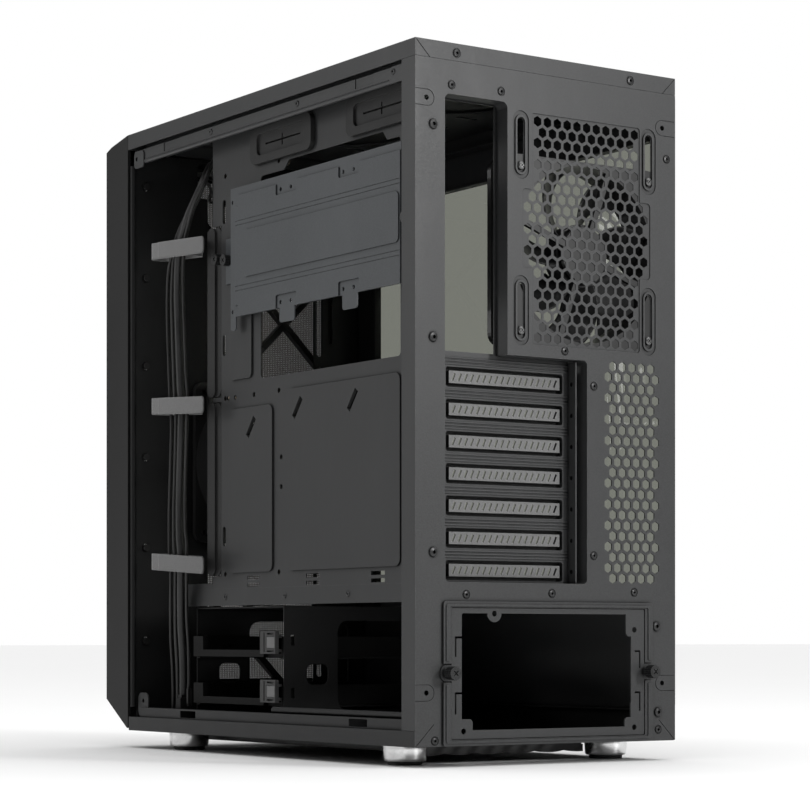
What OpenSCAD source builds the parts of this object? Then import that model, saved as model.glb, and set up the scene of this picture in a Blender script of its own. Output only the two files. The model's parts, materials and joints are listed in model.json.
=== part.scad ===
// Desktop computer tower: an empty mid-tower chassis with its right side panel off.
// Frame of the part: +X open side, -X glass side, +Y rear, +Z up, origin on the floor.
// Most modules work from the lower rear corner of the open side: x runs inward from the
// open side, y runs forward from the rear face, z runs up from the underside of the body.

/* [Case] */
// Width of the steel body, without the glass panel
body_w = 210; // [210:0.5:212]
// Height of the body above its feet
body_h = 440; // [440:0.5:442]
// Thickness of the folded steel sheet
sheet = 1; // [0.8:0.1:1]
// Thickness of the glass panel
glass_t = 3.2; // [3:0.1:4]

/* [Feet] */
// Height of the feet under the body
foot_h = 13; // [12:0.5:15]
// Radius of a foot at its top
foot_r = 14.8; // [13:0.1:16]

/* [Fans] */
// Side of the square fan frames
fan_size = 120; // [120:1:120]
// Spacing of the fan's screw holes
fan_holes = 105; // [105:0.5:105]
// Depth of a fan
fan_depth = 25; // [24:0.5:26]

/* [Expansion slots] */
// Distance from one expansion slot to the next
slot_pitch = 20.32; // [20.32:0.01:20.32]
// Number of expansion slots
slot_count = 7; // [5:1:7]

/* [Drives] */
// Distance from one drive sled to the next
sled_pitch = 33.4; // [32:0.1:34]

/* [Cables] */
// Radius of the thick front port cable
port_cable_r = 2.9; // [2:0.1:3]
// Radius of the thin panel wires
wire_r = 1.1; // [0.8:0.1:1.2]

/* [Hidden] */
$fn = 48;
side_x = 108;
rear_y = 198;
skin = 0.3;
lip_h = body_h - 11;
rail_top = 427;
rail_low = 416.7;
front_wall = 369;
bezel_back = 374.5;
bezel_front = 408;
tray_a = 19;
tray_front = 282;
shroud_h = 103;
shroud_top = shroud_h - 1.5;
foot_a = [23, body_w - 23];
foot_b = [45, 323];
fan_a = 134.3;
fan_h = 316.5;
fan_slots = [fan_a - fan_holes / 2, fan_a + fan_holes / 2];
grille_h = 329.5;
slot_dish_h = [[361, 403.5], [255, 298.5]];
front_fan_a = 112;
pin_a = [12, body_w - 12.6];
pin_h = [66, 135, 202, 269.5, 334.5, 402];
front_fan_h = 200;
io_left = 22.5;
io_right = 71.2;
io_low = 248;
io_top = 408;
slots_right = 135.5;
slots_low = 103;
first_slot = 232.8;
recess = 12;
strap_h = [350.4, 237.4, 124];
hex_flat = 6.1;
hex_pitch = 8;
hex_row = hex_pitch * sqrt(3) / 2;
// Motherboard screw grid: forward, up
standoff_b = [37, 191.94, 264.33];
standoff_h = [113.3, 237.76, 395.24];
// Screw holes of the power supply: across, up
psu_holes = [[36.1, 9.4], [174.1, 9.4], [60.1, 83.4], [174.1, 73.4]];
// Screw seats of the side panels: across, up, and which edge they open to
panel_tabs = [
    [8.5, 403.7, 1], [8.5, 33.8, 1], [body_w - 11.2, 405.9, -1], [body_w - 11.2, 38.2, -1]
];
// Small blind rivets on the rear face: across, up
rear_rivets = [
    [27.5, 413.7], [66, 414.2], [117.1, 253], [140.9, 231.6], [140.9, 121.5], [38.8, 95.3],
    [106.6, 96.6], [174.8, 98], [202.3, 385.6], [195.2, 7.5], [14.7, 3.8]
];
// Large blind rivets in dimples on the rear face: across, up
big_rivets = [[13.8, 387.8], [13.8, 255.3], [13.8, 121.4], [194, 75.7], [195.4, 19]];
lip_rivets = [31.4, 171.4];
rail_rivets = [[2, 27], [3, 142.3], [3, 256.8]];
// Centre line of the thick cable in the cable chamber: across, forward, up
cable_route = [
    [86, 380, 412.6], [81, 379.4, 413], [75, 369, 413.6], [66, 350, 414.4], [54, 332, 414.6],
    [40, 314, 413], [28, 301, 408.6],
    [20, 296, 398], [15, 297, 386], [11, 304, 371], [10, 312, 354], [10, 316, 342],
    [11, 319, 318], [11, 317, 282], [10, 313, 252], [10, 311, 236], [10, 312, 210], [11, 316, 170],
    [10, 314, 142], [10, 312, 128], [11, 314, 104], [14, 319, 78], [17, 322, 58], [17.5, 322, 42],
    [17.5, 322, 27]
];
// Where each thin wire runs beside the thick cable: across and forward
wire_offsets = [[-0.5, 7.4], [1.5, 11.6], [0, 15.4], [1, -6.6], [-1, -9.8]];

// ---- Helpers ----

// The lower rear corner of the open side, with x inward, y forward and z up
module at_corner() translate([side_x, rear_y, foot_h]) rotate([0, 0, 180]) children();

// A box between two opposite corners
module block(lo, hi) translate(lo) cube(hi - lo);

// A flat sheet across the case, drawn as width and height
module cross_sheet(b, t) translate([0, b + t, 0]) rotate([90, 0, 0]) linear_extrude(t) children();

// A flat sheet along the case, drawn as depth and height
module side_sheet(a, t) translate([a, 0, 0]) rotate([90, 0, 90]) linear_extrude(t) children();

// A level sheet, drawn as width and depth
module level_sheet(h, t) translate([0, 0, h]) linear_extrude(t) children();

// A round bar along the depth, from b0 to b1
module bar_along(a, h, b0, b1, r) translate([a, b0, h]) rotate([-90, 0, 0]) cylinder(r = r, h = b1 - b0);

// A round bar across the case, from a0 to a1
module bar_across(a0, a1, b, h, r) translate([a0, b, h]) rotate([0, 90, 0]) cylinder(r = r, h = a1 - a0);

// A flat rectangle with round corners
module rounded(lo, hi, r) {
    translate([lo.x + r, lo.y]) square([hi.x - lo.x - 2 * r, hi.y - lo.y]);
    translate([lo.x, lo.y + r]) square([hi.x - lo.x, hi.y - lo.y - 2 * r]);
    for (x = [lo.x + r, hi.x - r], y = [lo.y + r, hi.y - r]) translate([x, y]) circle(r);
}

// A flat slot with round ends, upright, between two heights
module upright_slot(x, y0, y1, w) {
    translate([x - w / 2, y0 + w / 2]) square([w, y1 - y0 - w]);
    for (y = [y0 + w / 2, y1 - w / 2]) translate([x, y]) circle(w / 2);
}

module hexagon(p) translate(p) rotate(30) circle(r = hex_flat / sqrt(3), $fn = 6);

// Centres of a honeycomb about a middle point, out to a number of rows and columns
function honeycomb(mid, cols, rows) = [
    for (j = [-rows : rows], i = [-cols : cols])
        mid + [(i + (j % 2 == 0 ? 0 : 0.5)) * hex_pitch, j * hex_row]
];

function fan_hexes() = [
    for (p = honeycomb([135.6, grille_h], 8, 10))
        if ((abs(p.x - 135.9) < 43.5) || (abs(p.x - 136.4) < 51 && abs(p.y - grille_h) < 26)) p
];

function vent_hexes() = [
    for (p = honeycomb([173.1, 176.2], 3, 10)) if (abs(p.x - 173.1) < 21) p
];

// The large blind rivet, thumbscrew and screw shapes all point along +z from their seat
module rivet(r) rotate_extrude() polygon([[r * 0.36, 0], [r, 0], [r * 0.8, r * 0.34], [r * 0.36, r * 0.42]]);

module screw_head(r, h) difference() {
    rotate_extrude() polygon([[0, 0], [r, 0], [r * 0.86, h * 0.7], [r * 0.5, h], [0, h]]);
    for (turn = [45, 135]) rotate(turn) translate([-r * 0.5, -r * 0.09, h * 0.45]) cube([r, r * 0.18, h]);
}

module thumbscrew(r, h, neck_r, neck_h) {
    cylinder(r = neck_r, h = neck_h);
    translate([0, 0, neck_h]) difference() {
        cylinder(r = r, h = h);
        for (turn = [0 : 15 : 345]) rotate(turn) translate([r, 0, -1])
            cylinder(r = r * 0.09, h = h + 2, $fn = 4);
        for (turn = [45, 135]) rotate(turn) translate([-r * 0.5, -0.35, h - 1]) cube([r, 0.7, 2]);
    }
}

// Turns a shape that points along +z to point rearward, or out of the open or glass side
module facing_rear(a, b, h) translate([a, b, h]) rotate([90, 0, 0]) children();
module facing_open(a, b, h) translate([a, b, h]) rotate([0, -90, 0]) children();
module facing_glass(a, b, h) translate([a, b, h]) rotate([0, 90, 0]) children();

// ---- Rear panel ----

module port_opening(grow) {
    rounded([io_left - grow, slots_low + 40], [io_right + grow, io_top + grow], 4 + grow);
    rounded([io_left - grow, slots_low - grow], [slots_right + grow, io_low - 0.2 + grow], 3 + grow);
}

module tab_outline(tab, grow) {
    edge = tab.z > 0 ? -1 : body_w - 1;
    near = tab.z > 0 ? tab.x + 0.6 : tab.x - 0.6;
    translate([min(edge, near), tab.y - 4.8 - grow]) square([abs(edge - near), 9.6 + 2 * grow]);
    translate([near, tab.y]) circle(4.8 + grow);
}

module rear_outline() difference() {
    translate([0, 0.3]) square([body_w, lip_h - 0.5]);
    port_opening(0);
    for (a = fan_slots) {
        upright_slot(a, 365.5, 399.5, 5);
        upright_slot(a, 259, 294, 5);
    }
    for (p = fan_hexes()) hexagon(p);
    for (p = vent_hexes()) hexagon(p);
    rounded([28.6, 6.4], [180.4, 85.4], 2);
    for (tab = panel_tabs) translate([tab.x, tab.y]) circle(1.7);
    for (a = [22.8, 183.6]) translate([a, 46]) circle(1.7);
}

module slot_windows(grow) {
    for (i = [0 : slot_count - 1])
        rounded([31.6 - grow, first_slot - i * slot_pitch - 6.4 - grow],
                [124.6 + grow, first_slot - i * slot_pitch + 6.4 + grow], 1.8 + grow);
}

module rear_panel() color("#37373a") at_corner() {
    difference() {
        cross_sheet(0, sheet) rear_outline();
        // Grooves around the screw seats and along the folded corners
        cross_sheet(-1, 1.4) for (tab = panel_tabs) difference() {
            tab_outline(tab, 0.5);
            tab_outline(tab, 0);
        }
        cross_sheet(-1, 1.4) intersection() {
            square([body_w, 16]);
            for (a = [0, body_w]) translate([a, 0]) rotate(a > 0 ? 135 : 45)
                translate([0, -0.2]) square([20, 0.5]);
        }
        // Dimples of the rivets, dishes of the fan slots and the sunk honeycomb of the fan
        for (p = big_rivets) facing_rear(p.x, 0.6, p.y) cylinder(r1 = 3.8, r2 = 5.8, h = 1);
        for (p = rear_rivets) facing_rear(p.x, 0.4, p.y) cylinder(r = 3.1, h = 1);
        cross_sheet(-1, 1.6) {
            for (a = fan_slots, h = slot_dish_h) upright_slot(a, h[0] - 0.6, h[1] + 0.6, 12.8);
            rounded([90.6, 255.6], [179.6, 403.6], 2);
            rounded([82.6, 304], [188.6, 354.8], 3);
        }
    }
    // Raised rims of the fan slots, inside their dishes
    cross_sheet(-0.4, 1.2) for (a = fan_slots, h = slot_dish_h) difference() {
        upright_slot(a, h[0] + 2.3, h[1] - 2.3, 8.8);
        upright_slot(a, h[0] + 3.6, h[1] - 3.6, 6.2);
    }
    // Raised frame around the power supply opening, notched for the bracket's ears
    cross_sheet(-1.7, 1.7) difference() {
        rounded([20.5, 0.3], [189.6, 91], 2);
        rounded([26.4, 4.2], [182.8, 87.2], 1);
        for (a = [16, 180]) translate([a, 40]) square([14, 12]);
    }
    cross_sheet(-2.3, 0.6) difference() {
        rounded([22.2, 2], [187.9, 89.3], 2);
        rounded([24.6, 3.4], [185.2, 87.9], 1.4);
        for (a = [16, 180]) translate([a, 38.5]) square([14, 15]);
    }
    // Return flanges at both sides
    block([0, sheet, 10.3], [sheet, 15, lip_h - 0.2]);
    block([sheet, 14, 17.5], [11, 15, rail_low - 0.3]);
    block([body_w - sheet, sheet, 21], [body_w, 15, lip_h - 0.2]);
    // Flange around the port opening, and the sunk plate of the slots
    cross_sheet(sheet, recess - sheet) difference() {
        port_opening(sheet);
        port_opening(0);
    }
    cross_sheet(recess, sheet) difference() {
        union() {
            translate([io_left - sheet, slots_low - sheet])
                square([129 - io_left + sheet, io_low - slots_low + 2]);
            translate([io_left - sheet, io_low]) square([3.2, io_top - io_low + 1]);
            translate([io_right - 1.8, io_low]) square([3, io_top - io_low + 1]);
            translate([io_left - sheet, io_top - 1]) square([io_right - io_left + 2 * sheet, 2]);
        }
        slot_windows(0);
    }
    cross_sheet(recess + sheet, 3.6) difference() {
        slot_windows(0.8);
        slot_windows(0);
    }
    // Pressed ribs between the slots
    for (i = [0 : slot_count], side = [-2, 0, 2])
        if (i < slot_count || side > 0)
            bar_across(23, 128.4, recess + 0.2, first_slot + slot_pitch / 2 - i * slot_pitch + side, 0.75);
    // Screw shelf and the deep pocket behind it
    difference() {
        block([129, 4, slots_low + 1], [130, recess + sheet, io_low - 1]);
        for (i = [0 : slot_count - 1]) bar_across(128, 131, 8.5, first_slot - i * slot_pitch, 1.6);
    }
    block([132.6, 30, slots_low - 1], [slots_right + 1, 31, io_low + 0.8]);
    block([slots_right, recess, slots_low - 1], [slots_right + 1, 30, io_low + 0.8]);
    block([132.6, recess, slots_low - 1], [slots_right, 30, slots_low]);
    block([132.6, recess, io_low - 0.2], [slots_right, 30, io_low + 0.8]);
}

module slot_cover(i) color("#6a6a6c") at_corner()
    translate([0, 0, first_slot - i * slot_pitch]) difference() {
    union() {
        block([31.8, 17, -9.2], [130.8, 18, 9.2]);
        block([28.6, 17, -4.5], [31.8, 18, 4.5]);
        block([130, 5.2, -7.6], [130.8, 17, 7.6]);
        block([34.4, 12.4, -3.9], [122.4, 17, 3.9]);
    }
    block([35.4, 13.2, -3.1], [121.4, 18.5, 3.1]);
    bar_across(129, 132, 8.5, 0, 1.7);
    for (k = [0 : 17])
        translate([38 + k * 4.75, 0, 0]) rotate([0, 24, 0]) block([-0.7, 12, -2.6], [0.7, 14, 2.6]);
}

module slot_screws() color("#202022") at_corner()
    for (i = [0 : slot_count - 1])
        translate([130.8, 8.5, first_slot - i * slot_pitch]) rotate([0, 90, 0]) screw_head(2.6, 1.8);

// ---- Power supply bracket ----

module psu_bracket() color("#3a3a3d") at_corner() cross_sheet(-1.2, 1.2) difference() {
    union() {
        rounded([26.8, 4.6], [182.4, 86.8], 1);
        rounded([18.6, 41], [40, 51], 4);
        rounded([168, 41], [188, 51], 4);
    }
    difference() {
        rounded([34.6, 10], [171.4, 83.5], 1.5);
        rounded([26, 2], [43, 17], 2.5);
        rounded([166, 2], [180, 16], 2.5);
        rounded([167, 69], [180, 90], 3);
        translate([60.1, 83.4]) circle(5.4);
        rounded([171, 15], [174.4, 26], 1);
    }
    for (p = psu_holes) translate(p) circle(1.9);
    for (a = [22.8, 183.6]) translate([a, 46]) circle(1.9);
    for (h = [[20, 34], [56, 69]]) {
        upright_slot(29.9, h[0], h[1], 1.3);
        translate([29.9, h[1] - 1.3]) square([6, 1.3]);
    }
    for (h = [[20, 33], [48, 60]]) {
        upright_slot(178.6, h[0], h[1], 1.3);
        translate([174.4, h[1] - 1.3]) square([4.2, 1.3]);
    }
}

module psu_thumbscrews() color("#1c1c1e") at_corner()
    for (a = [22.8, 183.6]) facing_rear(a, -1.2, 46) thumbscrew(4.4, 6.6, 3, 4);

// ---- Base, top and rails ----

module rail_notches(lo, hi) {
    for (b = [[58.5, 80], [279, 301]]) block([lo.x, b[0], lo.y], [hi.x, b[1], hi.y]);
}

module base_pan() color("#303033") at_corner() {
    difference() {
        level_sheet(0, sheet) difference() {
            translate([sheet, sheet + skin]) square([body_w - 2 * sheet, 372 - skin]);
            for (i = [0 : 8], k = [0 : 3])
                rounded([46 + i * 13.6, 26 + k * 38], [54 + i * 13.6, 58 + k * 38], 3);
            for (i = [0 : 5]) rounded([60 + i * 16, 310], [70 + i * 16, 345], 4);
        }
        for (a = foot_a, b = foot_b) translate([a, b, -1]) cylinder(r = 2.1, h = 4);
    }
    block([0, sheet + skin, 0], [sheet, 373, 10]);
    block([sheet, sheet + skin, 9], [4, front_wall - skin, 10]);
    difference() {
        block([3, 15 + skin, 10], [4, 361, 17]);
        rail_notches([2, 11], [5, 16]);
    }
    block([4, 15 + skin, 16], [11, front_wall - 9, 17]);
    bar_along(9.4, 19, 15 + skin, 182.6, 2.4);
    block([body_w - sheet, sheet + skin, 0], [body_w, 373, 20.6]);
    block([body_w - 12, 15 + skin, 19.6], [body_w - sheet, front_wall - skin, 20.6]);
    // Ears that the lower glass screws enter
    for (b = [24, 348]) difference() {
        block([body_w - 4, b - 8, 20.6], [body_w - 3, b + 8, 49]);
        bar_across(body_w - 6, body_w, b, 40, 2);
    }
    // Runners that hold the lower dust filter
    for (side = [0, 1]) translate([side ? body_w : 0, 0, 0]) mirror([side, 0, 0]) {
        block([36.4, 62, -4.6], [38.6, 306, 0]);
        block([38.6, 62, -4.6], [43, 306, -3.8]);
    }
    // Corner gusset of the open side
    difference() {
        side_sheet(4, sheet) rounded([350.5, 10], [365.5, 28], 5);
        bar_across(2, 7, 358, 22, 1.6);
    }
}

module top_panel() color("#3f3f42") at_corner() {
    level_sheet(body_h - sheet, sheet) difference() {
        square([body_w, 374]);
        rounded([30, 34], [180, 330], 6);
    }
    level_sheet(body_h - 3.6, 3.6 - sheet) difference() {
        rounded([29, 33], [181, 331], 7);
        rounded([30, 34], [180, 330], 6);
    }
    level_sheet(body_h - 4.6, sheet) difference() {
        rounded([29, 33], [181, 331], 7);
        for (b = [112, 252]) {
            translate([105, b]) circle(59);
            for (a = [-fan_holes / 2, fan_holes / 2], k = [-fan_holes / 2, fan_holes / 2])
                translate([105 + a, b + k]) rotate(90) upright_slot(0, -9, 9, 4.4);
        }
    }
    difference() {
        union() {
            block([0, 0, lip_h], [sheet, 374, body_h - sheet]);
            block([body_w - sheet, 0, lip_h], [body_w, 374, body_h - sheet]);
            block([sheet, 0, lip_h], [body_w - sheet, sheet, body_h - sheet]);
        }
        // Folded corners of the rear lip
        for (side = [0, 1]) translate([side ? body_w : 0, -1, body_h]) mirror([side, 0, 0])
            rotate([0, 45, 0]) translate([0, 0, -0.25]) cube([20, 1.4, 0.5]);
        for (a = lip_rivets) facing_rear(a, 0.4, 434) cylinder(r = 3.2, h = 1);
    }
    block([sheet, 373, lip_h], [body_w - sheet, 374, body_h - sheet]);
}

module side_rail_open() color("#3a3a3d") at_corner() {
    difference() {
        union() {
            block([3, 15 + skin, rail_low + 3], [4, front_wall - skin, rail_top]);
            bar_along(3.9, rail_low + 1.6, 15 + skin, front_wall - 9, 1.6);
        }
        for (b = [[51, 72.4], [302, 325]]) block([2, b[0], rail_low + 4], [3.5, b[1], rail_top + 1]);
    }
    block([4, 15 + skin, rail_top - sheet], [30, front_wall - skin, rail_top]);
    difference() {
        side_sheet(2, sheet) rounded([8, rail_low - 0.2], [32, rail_top], 4);
        bar_across(1, 6, 13, 421.6, 1.6);
    }
    difference() {
        side_sheet(2, sheet) rounded([354, rail_low - 2.6], [368.2, rail_top - 0.6], 3);
        bar_across(1, 6, 364.4, 421, 1.6);
    }
    // Wall up to the roof
    block([12, 15 + skin, rail_top], [13, front_wall - skin, body_h - sheet]);
}

module side_rail_glass() color("#3a3a3d") at_corner() {
    difference() {
        block([body_w - 4, 15 + skin, 400], [body_w - 3, front_wall - skin, rail_top]);
        for (b = [24, 348]) bar_across(body_w - 6, body_w - 2, b, 412, 2);
    }
    block([body_w - 14, 15 + skin, rail_top - sheet], [body_w - 4, front_wall - skin, rail_top]);
    block([body_w - 10, 15 + skin, 400], [body_w - 4, front_wall - skin, 401]);
    block([body_w - 5, 15 + skin, rail_top], [body_w - 4, front_wall - skin, body_h - sheet]);
}

// ---- Front frame ----

module front_frame() color("#2b2b2d") at_corner() {
    cross_sheet(front_wall, sheet) difference() {
        translate([5, sheet + skin]) square([body_w - 10, rail_top - 2]);
        rounded([64.5, 32], [159.5, 404], 6);
        for (h = [142, 204]) upright_slot(front_fan_a - fan_holes / 2, h, h + 54, 4.6);
        for (k = [0 : 5]) upright_slot(front_fan_a + fan_holes / 2, 38 + k * 62, 92 + k * 62, 4.6);
        for (k = [0 : 2]) upright_slot(front_fan_a + 62.25, 60 + k * 118, 134 + k * 118, 4.6);
        for (a = pin_a, h = pin_h) translate([a, h]) circle(2.9);
        rounded([56, 398], [98.5, 425], 3);
    }
    // Rolled post at the open side, and the folded post at the glass side
    translate([2.5, 370.4, 17.3]) cylinder(r = 2.1, h = rail_low - 17.6);
    block([3.4, front_wall, 17.3], [5.4, front_wall + sheet, rail_low - 0.3]);
    block([body_w - 10, 345, 21], [body_w - 9, front_wall, 399.6]);
    block([body_w - 9, 345, 21], [body_w - 4.2, 346, 399.6]);
    block([12, front_wall - 8, sheet], [body_w - 13, front_wall, 2 * sheet]);
}

// ---- Motherboard tray, shroud and drive bracket ----

module tray_outline() difference() {
    union() {
        translate([33, shroud_h]) square([tray_front - 12 - 33, rail_top - sheet - shroud_h]);
        translate([20, shroud_h]) square([20, 140]);
        translate([tray_front - 12, 361]) square([12, rail_top - sheet - 361]);
        translate([tray_front - 12, shroud_h]) square([12, 8.8]);
        translate([tray_front - 12, 236]) square([12, 3]);
    }
    // Opening behind the processor socket
    rounded([44, 248], [216, 388], 3);
    polygon([[57.6, 386], [64, 394], [179, 394], [187.4, 386]]);
    // Openings under the two cable grommets
    rounded([155.4, 401], [215.8, 417], 4);
    rounded([30, 401], [93.8, 417], 4);
    // Lanced tie points and slots
    for (b = [226, 149, 70]) {
        translate([b - 8, 104]) square([16, 2.6]);
        translate([b - 8, 108.8]) square([16, 2.6]);
    }
    for (b = [[227, 215], [166, 224], [98, 224]])
        translate(b) rotate(38) translate([-2.2, -8]) square([4.4, 16]);
    for (h = [[361.6, 378.7], [268, 283], [133, 147]]) upright_slot(266, h[0], h[1], 4.6);
    for (b = standoff_b, h = standoff_h) translate([b, h]) circle(1.8);
    for (p = [[260.6, 237.6], [250.6, 237.4], [225.2, 237.5], [189, 192], [189, 171.6]])
        translate(p) circle(1.8);
}

module tray_embosses() {
    rounded([226.6, 249.6], [256, 313], 4);
    rounded([199, 114], [257, 229], 5);
    rounded([43, 114], [178, 237.4], 5);
}

module motherboard_tray() color("#404043") at_corner() {
    side_sheet(tray_a, sheet) tray_outline();
    side_sheet(tray_a - 1.4, 1.4) intersection() {
        tray_embosses();
        tray_outline();
    }
    // Rear strip beside the port opening
    block([tray_a, 20, 249], [tray_a + sheet, 33, rail_top - sheet]);
}

module tray_grommets() color("#1b1b1c") at_corner() for (b = [146, 24]) difference() {
    union() {
        side_sheet(tray_a - 3.4, 3.4) rounded([b, 396], [b + 79, 421], 6);
        side_sheet(tray_a, 3) rounded([b + 10, 401.6], [b + 69.2, 416.4], 3.6);
    }
    side_sheet(tray_a - 4, 2.4) rounded([b + 9, 401.6], [b + 70, 416.4], 4);
    side_sheet(tray_a - 4, 10) translate([b + 38.5, 405]) square([1.4, 8]);
    side_sheet(tray_a - 4, 10) translate([b + 16, 408.4]) square([45, 1.2]);
}

module cable_edge_trims() color("#161617") at_corner() for (h = [[112.4, 235.4], [239.6, 360.4]]) {
    side_sheet(tray_a, sheet) rounded([tray_front - 11.8, h[0]], [tray_front, h[1]], 5.8);
    side_sheet(tray_a - 1.6, 3.4) rounded([tray_front - 5.4, h[0]], [tray_front + 5, h[1]], 5);
}

module psu_shroud() color("#38383a") at_corner() {
    difference() {
        block([tray_a, 16, shroud_top - sheet], [body_w - 5, 306, shroud_top]);
        for (b = [60, 120, 180]) level_sheet(shroud_top - 3, 4) rounded([40, b], [58, b + 34], 4);
        for (i = [0 : 8]) level_sheet(shroud_top - 3, 4) rounded([86 + i * 12, 214], [92 + i * 12, 284], 2.9);
    }
    side_sheet(tray_a, sheet) {
        translate([16, 91]) square([303, 12]);
        translate([tray_front + 0.2, 91]) square([319 - tray_front - 0.2, 16]);
    }
    block([body_w - 5, 16, 20.62], [body_w - 4, 344.4, shroud_top]);
}

module ssd_bracket() color("#54545a") at_corner() {
    tab_b = [[80, 104.8], [156.8, 183.3]];
    difference() {
        union() {
            // Back sheet with its tabs
            side_sheet(12, sheet) {
                translate([33, 292.3]) square([212, 90]);
                for (t = tab_b) rounded([t[0] + 4, 282.4], [t[1] - 3.4, 300], 2);
                rounded([238, 283], [245, 300], 2);
            }
            // Raised face, stepped back around the tabs
            side_sheet(11, sheet) difference() {
                union() {
                    translate([33, 292.3]) square([201, 84.2]);
                    translate([33, 300.3]) square([204.6, 68.4]);
                }
                for (t = tab_b) {
                    rounded([t[0], 369.2], [t[1], 380], 1.5);
                    rounded([t[0], 288], [t[1], 301.4], 1.5);
                }
            }
            side_sheet(10.2, 0.8) rounded([34, 318.6], [224, 350.8], 3.5);
        }
        for (h = [355.4, 358.4, 309.8, 313]) side_sheet(10.5, 0.8) translate([33.6, h]) square([203, 0.6]);
        for (t = tab_b, k = [0.32, 0.82], h = [372.8, 296.2])
            bar_across(9, 14, t[0] + k * (t[1] - t[0]), h, 1.5);
        for (h = [296, 372.7]) bar_across(9, 14, 242.4, h, 1.4);
    }
    // Legs down to the tray at both ends
    block([12 + sheet, 242, 318], [tray_a - sheet, 243, 350]);
    difference() {
        block([tray_a - sheet, 242, 318], [tray_a, 262, 350]);
        bar_across(15, 21, 252, 333.6, 1.8);
    }
    block([12 + sheet, 33, 318], [tray_a, 34, 350]);
    difference() {
        block([tray_a - sheet, 22, 318], [tray_a, 33, 350]);
        bar_across(16, 21, 27, 333.6, 1.8);
    }
}

module ssd_thumbscrews() color("#1f1f21") at_corner()
    for (p = [[tray_a - sheet, 252, 333.6], [tray_a - sheet, 27, 333.6], [tray_a, 266, 336]])
        facing_open(p.x, p.y, p.z) thumbscrew(4, 5, 2.4, 3.5);

module motherboard_standoffs() color("#b08d45") at_corner()
    for (b = standoff_b, h = standoff_h) facing_glass(tray_a + sheet, b, h) difference() {
        cylinder(r = 2.9, h = 6.5, $fn = 6);
        translate([0, 0, -1]) cylinder(r = 1.4, h = 9);
    }

module hdd_cage() color("#333336") at_corner() {
    for (b = [187, 306]) cross_sheet(b, sheet) difference() {
        translate([20, sheet]) square([146, 89]);
        for (h = [30.3, 66.6]) translate([25.5, h - 3.5]) square([3, 7]);
        rounded([38.5, 36], [56, 50], 5);
        rounded([64, 18], [150, 80], 8);
    }
    block([165, 188, sheet], [166, 306, 90]);
    difference() {
        block([20, 188, 89], [165, 306, 90]);
        for (a = [50, 96]) level_sheet(88, 4) rounded([a, 205], [a + 34, 290], 6);
    }
    // Ledges that the sleds run on
    for (h = [20.2, 20.2 + sled_pitch], b = [188, 302]) block([20, b, h], [164, b + 4, h + sheet]);
}

module hdd_sled(n) color("#1a1a1b") at_corner() translate([0, 0, n * sled_pitch]) {
    difference() {
        block([20, 188.6, 21.6], [160, 305.4, 23.6]);
        level_sheet(20, 6) rounded([38, 204], [92, 290], 5);
        level_sheet(20, 6) rounded([100, 204], [152, 290], 5);
    }
    for (b = [188.6, 303]) difference() {
        block([20, b, 23.6], [160, b + 2.4, 35.6]);
        for (a = [45, 146.6]) bar_along(a, 29.6, b - 1, b + 5, 1.7);
    }
    block([16.6, 208.4, 21.6], [20, 305.4, 26.4]);
    block([16.6, 292, 26.4], [20, 305.4, 36]);
    block([16.6, 208.4, 26.4], [20, 213.4, 36]);
}

module hdd_latch(n) color("#77777b") at_corner() translate([0, 0, n * sled_pitch]) {
    difference() {
        block([13.6, 188.2, 23.8], [16.6, 208, 39.4]);
        block([12.6, 189.2, 27.6], [14.6, 200, 35.6]);
        for (h = [25, 37]) block([12.6, 190.4, h], [15.6, 199, h + 1.2]);
        block([12.6, 202, 24.8], [14.4, 203.4, 38.4]);
    }
    block([16.6, 189.4, 25], [20, 208, 27]);
    block([16.6, 189.4, 34.6], [20, 208, 36.6]);
}

// ---- Fans ----

module fan_frame() difference() {
    union() {
        linear_extrude(4) fan_square();
        translate([0, 0, fan_depth - 4]) linear_extrude(4) fan_square();
        cylinder(r = 59.2, h = fan_depth, $fn = 96);
    }
    translate([0, 0, -1]) difference() {
        cylinder(r = 57.4, h = fan_depth + 2, $fn = 96);
        cylinder(r = 18, h = 4);
        for (turn = [20 : 90 : 290]) rotate(turn) block([10, -2, 0], [60, 2, 4]);
    }
    for (x = [-1, 1], y = [-1, 1]) translate([x * fan_holes / 2, y * fan_holes / 2, -1])
        cylinder(r = 2.15, h = fan_depth + 2);
    translate([0, 0, 1]) cylinder(r = 1.55, h = 4);
}

module fan_square() rounded([-fan_size / 2, -fan_size / 2], [fan_size / 2, fan_size / 2], 7.5);

module fan_rotor() {
    difference() {
        translate([0, 0, 4.2]) cylinder(r = 20.5, h = fan_depth - 5.4);
        translate([0, 0, 3]) cylinder(r = 18.5, h = fan_depth - 6.6);
    }
    translate([0, 0, 1.6]) cylinder(r = 1.5, h = fan_depth - 4.4);
    intersection() {
        translate([0, 0, 5]) cylinder(r = 56.4, h = fan_depth - 7, $fn = 96);
        for (turn = [0 : 360 / 7 : 359]) rotate(turn) translate([20, 0, 12.6]) rotate([52, 0, 0])
            translate([0, -0.8, -16]) cube([40, 1.6, 32]);
    }
}

// Places a fan with its open face forward of the given wall
module at_rear_fan() at_corner() translate([fan_a, sheet, fan_h]) rotate([-90, 0, 0]) children();
module at_front_fan() at_corner()
    translate([front_fan_a, front_wall, front_fan_h]) rotate([90, 0, 0]) children();
module fan_screws() for (x = [-1, 1], y = [-1, 1])
    translate([x * fan_holes / 2, y * fan_holes / 2, 0]) rotate([180, 0, 0]) children();

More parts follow.
